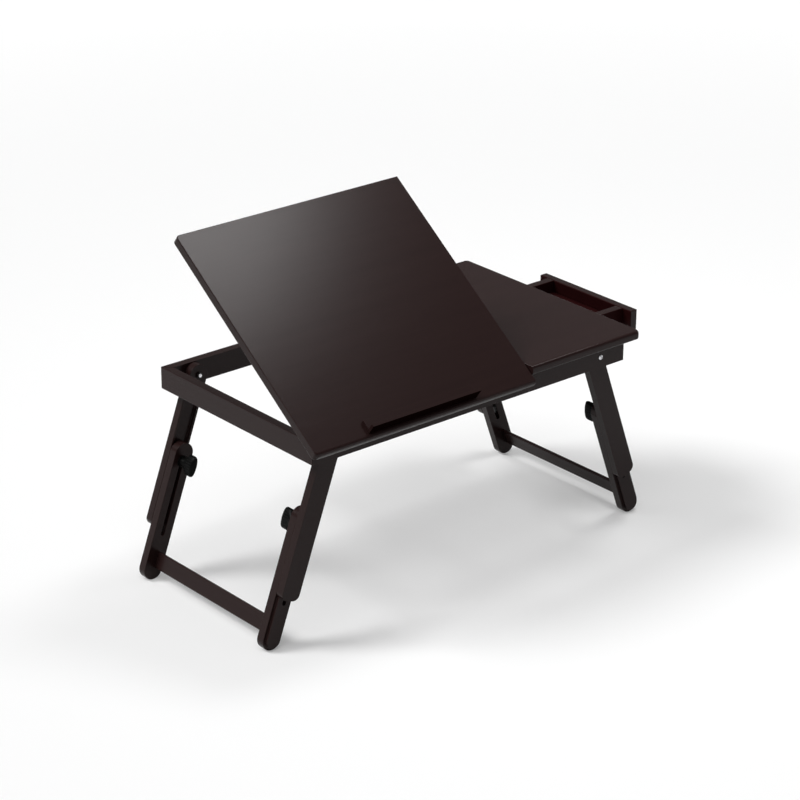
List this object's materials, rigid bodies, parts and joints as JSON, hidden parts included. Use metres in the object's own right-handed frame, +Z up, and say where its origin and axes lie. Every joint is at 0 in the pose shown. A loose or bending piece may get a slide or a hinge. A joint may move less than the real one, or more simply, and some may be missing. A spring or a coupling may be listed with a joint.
{
  "type": "laptop bed table",
  "caption": "Low folding bed table with a tilting panel and book stop, a fixed side panel, an end drawer and telescopic folding legs with wing knobs.",
  "frame": {"origin": "centre of the bounding box at floor level, as pictured: panel raised, drawer open, legs out", "axes": "+X along the table towards the drawer, +Y from the user towards the back, +Z up"},
  "size_m": [0.6742, 0.3566, 0.472],
  "materials": {
    "dark_lacquer": "dark brown gloss lacquer",
    "drawer_wood": "dark red-brown satin lacquer",
    "black_plastic": "black moulded plastic",
    "bright_steel": "bright zinc plated",
    "dark_steel": "black oxide",
    "brass": "plain turned brass"
  },
  "bodies": {
    "frame": {"front_rail": "dark_lacquer", "back_rail": "dark_lacquer", "left_rail": "dark_lacquer", "right_rail": "dark_lacquer", "divider": "dark_lacquer", "prop_rack": "dark_lacquer", "fixed_panel": "dark_lacquer", "hinge_pin_left": "bright_steel", "hinge_pin_right": "bright_steel", "drawer_runner_front": "drawer_wood", "drawer_runner_back": "drawer_wood", "pivot_bolt_front_left": "bright_steel", "pivot_bolt_back_left": "bright_steel", "pivot_bolt_front_right": "bright_steel", "pivot_bolt_back_right": "bright_steel", "pivot_nut_front_left": "dark_steel", "pivot_nut_back_left": "dark_steel", "pivot_nut_front_right": "dark_steel", "pivot_nut_back_right": "dark_steel"},
    "raised_panel": {"tilting_panel": "dark_lacquer", "book_stop": "dark_lacquer", "stop_screw_left": "bright_steel", "stop_screw_right": "bright_steel", "hinge_block_left": "bright_steel", "hinge_block_right": "bright_steel", "prop_bracket": "dark_lacquer", "prop_pin": "bright_steel"},
    "prop": {"prop_strut": "dark_lacquer"},
    "drawer": {"drawer_front": "dark_lacquer", "drawer_side_front": "dark_lacquer", "drawer_side_back": "dark_lacquer", "drawer_back": "dark_lacquer", "drawer_bottom": "drawer_wood"},
    "legs_left": {"upper_leg_front_left": "dark_lacquer", "leg_insert_front_left": "brass", "upper_leg_back_left": "dark_lacquer", "leg_insert_back_left": "brass"},
    "feet_left": {"lower_leg_front_left": "dark_lacquer", "lower_leg_back_left": "dark_lacquer", "crossbar_left": "dark_lacquer"},
    "legs_right": {"upper_leg_front_right": "dark_lacquer", "leg_insert_front_right": "brass", "upper_leg_back_right": "dark_lacquer", "leg_insert_back_right": "brass"},
    "feet_right": {"lower_leg_front_right": "dark_lacquer", "lower_leg_back_right": "dark_lacquer", "crossbar_right": "dark_lacquer"},
    "knob_front_left": {"wing_knob_front_left": "black_plastic", "knob_washer_front_left": "black_plastic", "clamp_screw_front_left": "bright_steel"},
    "knob_back_left": {"wing_knob_back_left": "black_plastic", "knob_washer_back_left": "black_plastic", "clamp_screw_back_left": "bright_steel"},
    "knob_front_right": {"wing_knob_front_right": "black_plastic", "knob_washer_front_right": "black_plastic", "clamp_screw_front_right": "bright_steel"},
    "knob_back_right": {"wing_knob_back_right": "black_plastic", "knob_washer_back_right": "black_plastic", "clamp_screw_back_right": "bright_steel"}
  },
  "joints": [
    {"name": "panel_tilt", "type": "hinge", "parent": "frame", "child": "raised_panel", "pos_m": [-0.0139, -0.14324, 0.26338], "axis": [1, 0, 0], "range_deg": [-36.2, 0]},
    {"name": "prop_swing", "type": "hinge", "parent": "raised_panel", "child": "prop", "pos_m": [0.0593, -0.0662, 0.32744], "axis": [1, 0, 0], "range_deg": [0, 67.97]},
    {"name": "drawer_pull", "type": "slide", "parent": "frame", "child": "drawer", "axis": [1, 0, 0], "range_m": [-0.0767, 0.03]},
    {"name": "fold_left", "type": "hinge", "parent": "frame", "child": "legs_left", "pos_m": [-0.2336, 0.00577, 0.25968], "axis": [0, -1, 0], "range_deg": [0, 110]},
    {"name": "extend_left", "type": "slide", "parent": "legs_left", "child": "feet_left", "axis": [0.342, 0, 0.9397], "range_m": [0, 0.0694]},
    {"name": "fold_right", "type": "hinge", "parent": "frame", "child": "legs_right", "pos_m": [0.2058, 0.00577, 0.25968], "axis": [0, 1, 0], "range_deg": [0, 110]},
    {"name": "extend_right", "type": "slide", "parent": "legs_right", "child": "feet_right", "axis": [-0.342, 0, 0.9397], "range_m": [0, 0.0694]},
    {"name": "knob_turn_front_left", "type": "hinge", "parent": "legs_left", "child": "knob_front_left", "pos_m": [-0.27225, 0.00577, 0.15349], "axis": [0, 1, 0], "range_deg": [0, 540]},
    {"name": "knob_turn_back_left", "type": "hinge", "parent": "legs_left", "child": "knob_back_left", "pos_m": [-0.27225, 0.00577, 0.15349], "axis": [0, -1, 0], "range_deg": [0, 540]},
    {"name": "knob_turn_front_right", "type": "hinge", "parent": "legs_right", "child": "knob_front_right", "pos_m": [0.24445, 0.00577, 0.15349], "axis": [0, 1, 0], "range_deg": [0, 540]},
    {"name": "knob_turn_back_right", "type": "hinge", "parent": "legs_right", "child": "knob_back_right", "pos_m": [0.24445, 0.00577, 0.15349], "axis": [0, -1, 0], "range_deg": [0, 540]}
  ],
  "couplings": [
    {"joint": "prop_swing", "follows": "panel_tilt", "ratio": -1.8774}
  ]
}
